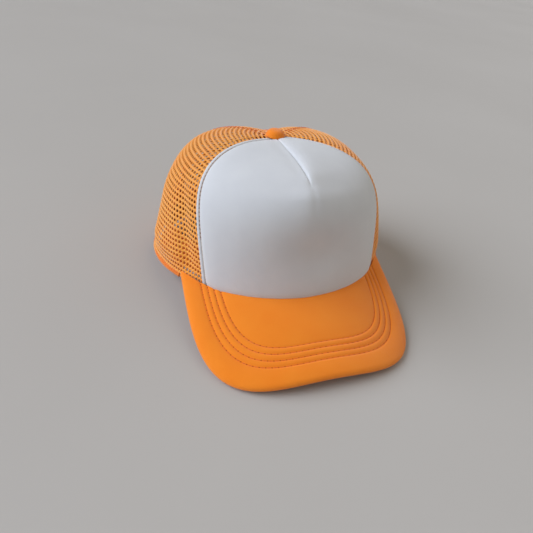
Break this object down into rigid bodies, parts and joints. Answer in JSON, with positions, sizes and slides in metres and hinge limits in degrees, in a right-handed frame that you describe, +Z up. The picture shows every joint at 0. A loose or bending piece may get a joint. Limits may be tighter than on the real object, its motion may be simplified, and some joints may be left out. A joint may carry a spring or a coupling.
{
  "type": "trucker cap",
  "caption": "Trucker cap with a padded front panel, mesh sides and back, a curved padded visor, a top button and a snap closure at the back.",
  "frame": {"origin": "on the surface that the cap stands on, under the middle of its outline", "axes": "+Z up, -Y out through the visor, +X towards the wearer's left"},
  "size_m": [0.2074, 0.2458, 0.1139],
  "materials": {
    "front_fabric": "fine brushed knit, matte",
    "front_foam": "soft polyurethane foam, matte",
    "mesh": "nylon honeycomb mesh, satin",
    "visor_fabric": "twill over padding, matte",
    "orange_tape": "woven binding tape, matte",
    "white_tape": "woven seam tape, matte",
    "orange_thread": "sewing thread",
    "white_thread": "sewing thread",
    "sweatband": "woven band, matte",
    "visor_board": "moulded sheet",
    "button_metal": "pressed sheet",
    "strap_plastic": "moulded, slightly translucent, satin"
  },
  "bodies": {
    "crown": {"front_panel_face": "front_fabric", "front_panel_foam": "front_foam", "front_topstitch_left": "white_thread", "front_topstitch_right": "white_thread", "side_mesh_left": "mesh", "side_mesh_right": "mesh", "rear_mesh_left": "mesh", "rear_mesh_right": "mesh", "front_seam_tape_left": "white_tape", "front_seam_tape_right": "white_tape", "side_seam_tape_left": "orange_tape", "side_seam_tape_right": "orange_tape", "back_seam_tape": "orange_tape", "rear_opening_binding": "orange_tape", "rim_hem_left": "orange_tape", "rim_hem_right": "orange_tape", "sweatband": "sweatband", "visor_seam_binding": "white_tape", "visor_top_cover": "visor_fabric", "visor_padding": "front_foam", "visor_board": "visor_board", "visor_under_cover": "visor_fabric", "visor_stitch_row_1": "orange_thread", "visor_stitch_row_2": "orange_thread", "visor_stitch_row_3": "orange_thread", "visor_stitch_row_4": "orange_thread", "hole_strap_sewn_end": "strap_plastic", "peg_strap_sewn_end": "strap_plastic", "button_cover": "visor_fabric", "button_shell": "button_metal", "button_rivet": "button_metal"},
    "hole_strap": {"hole_strap": "strap_plastic"},
    "peg_strap": {"peg_strap": "strap_plastic"}
  },
  "joints": [
    {"name": "hole_strap_bend", "type": "hinge", "parent": "crown", "child": "hole_strap", "pos_m": [0.04419, 0.11363, 0.00077], "axis": [0.1389, 0.238, -0.9613], "range_deg": [0, 75], "stiffness_Nm_per_rad": 0.06},
    {"name": "peg_strap_bend", "type": "hinge", "parent": "crown", "child": "peg_strap", "pos_m": [-0.04361, 0.11221, 0.00033], "axis": [-0.1373, 0.2387, -0.9613], "range_deg": [0, 40], "stiffness_Nm_per_rad": 0.06}
  ]
}
